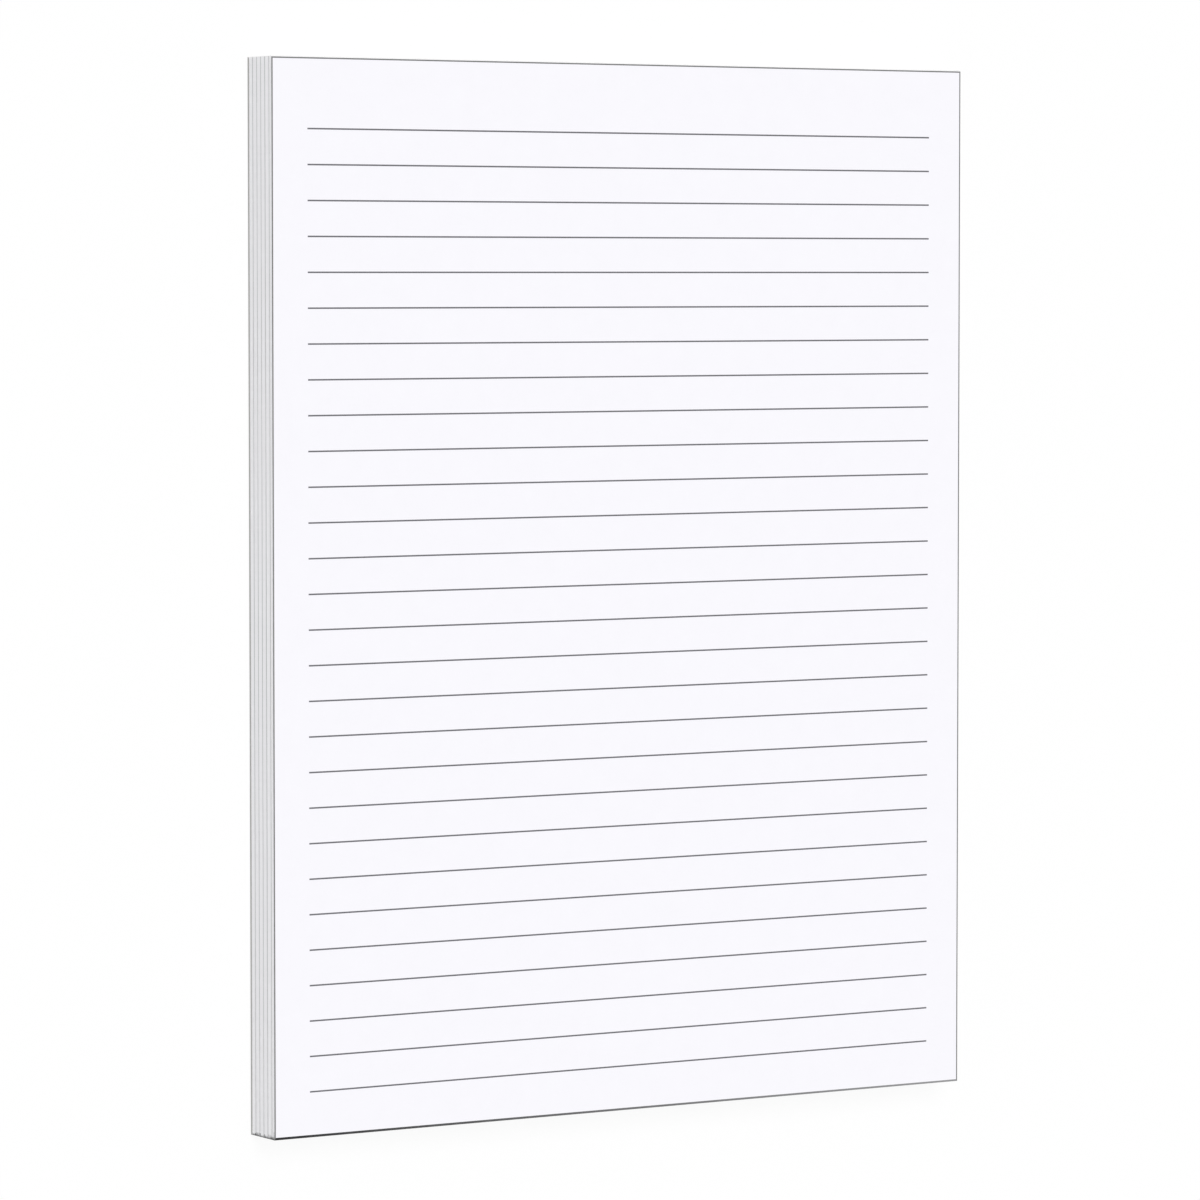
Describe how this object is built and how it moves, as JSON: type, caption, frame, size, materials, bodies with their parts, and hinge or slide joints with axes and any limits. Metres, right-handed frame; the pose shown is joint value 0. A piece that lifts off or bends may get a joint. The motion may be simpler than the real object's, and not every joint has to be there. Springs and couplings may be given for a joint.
{
  "type": "ruled notepad",
  "caption": "Glue-top writing pad: a block of ruled letter-size sheets whose lifts show at the trimmed edges, padded along its top edge onto a grey chipboard back.",
  "frame": {"origin": "middle of the flat back face that the pad rests on", "axes": "+X across the page towards its right edge, +Y up the page towards the glued top edge, +Z out of the ruled page"},
  "size_m": [0.216, 0.2798, 0.0129],
  "materials": {
    "paper": "matt, uncoated bright white",
    "ruling_ink": "matt grey ink soaked into the paper",
    "chipboard": "matt, flecked grey board",
    "padding_glue": "satin, brushed"
  },
  "bodies": {
    "root": {"page_block": "paper", "ruled_lines": "ruling_ink", "backing_board": "chipboard", "padding_glue": "padding_glue"}
  },
  "joints": []
}
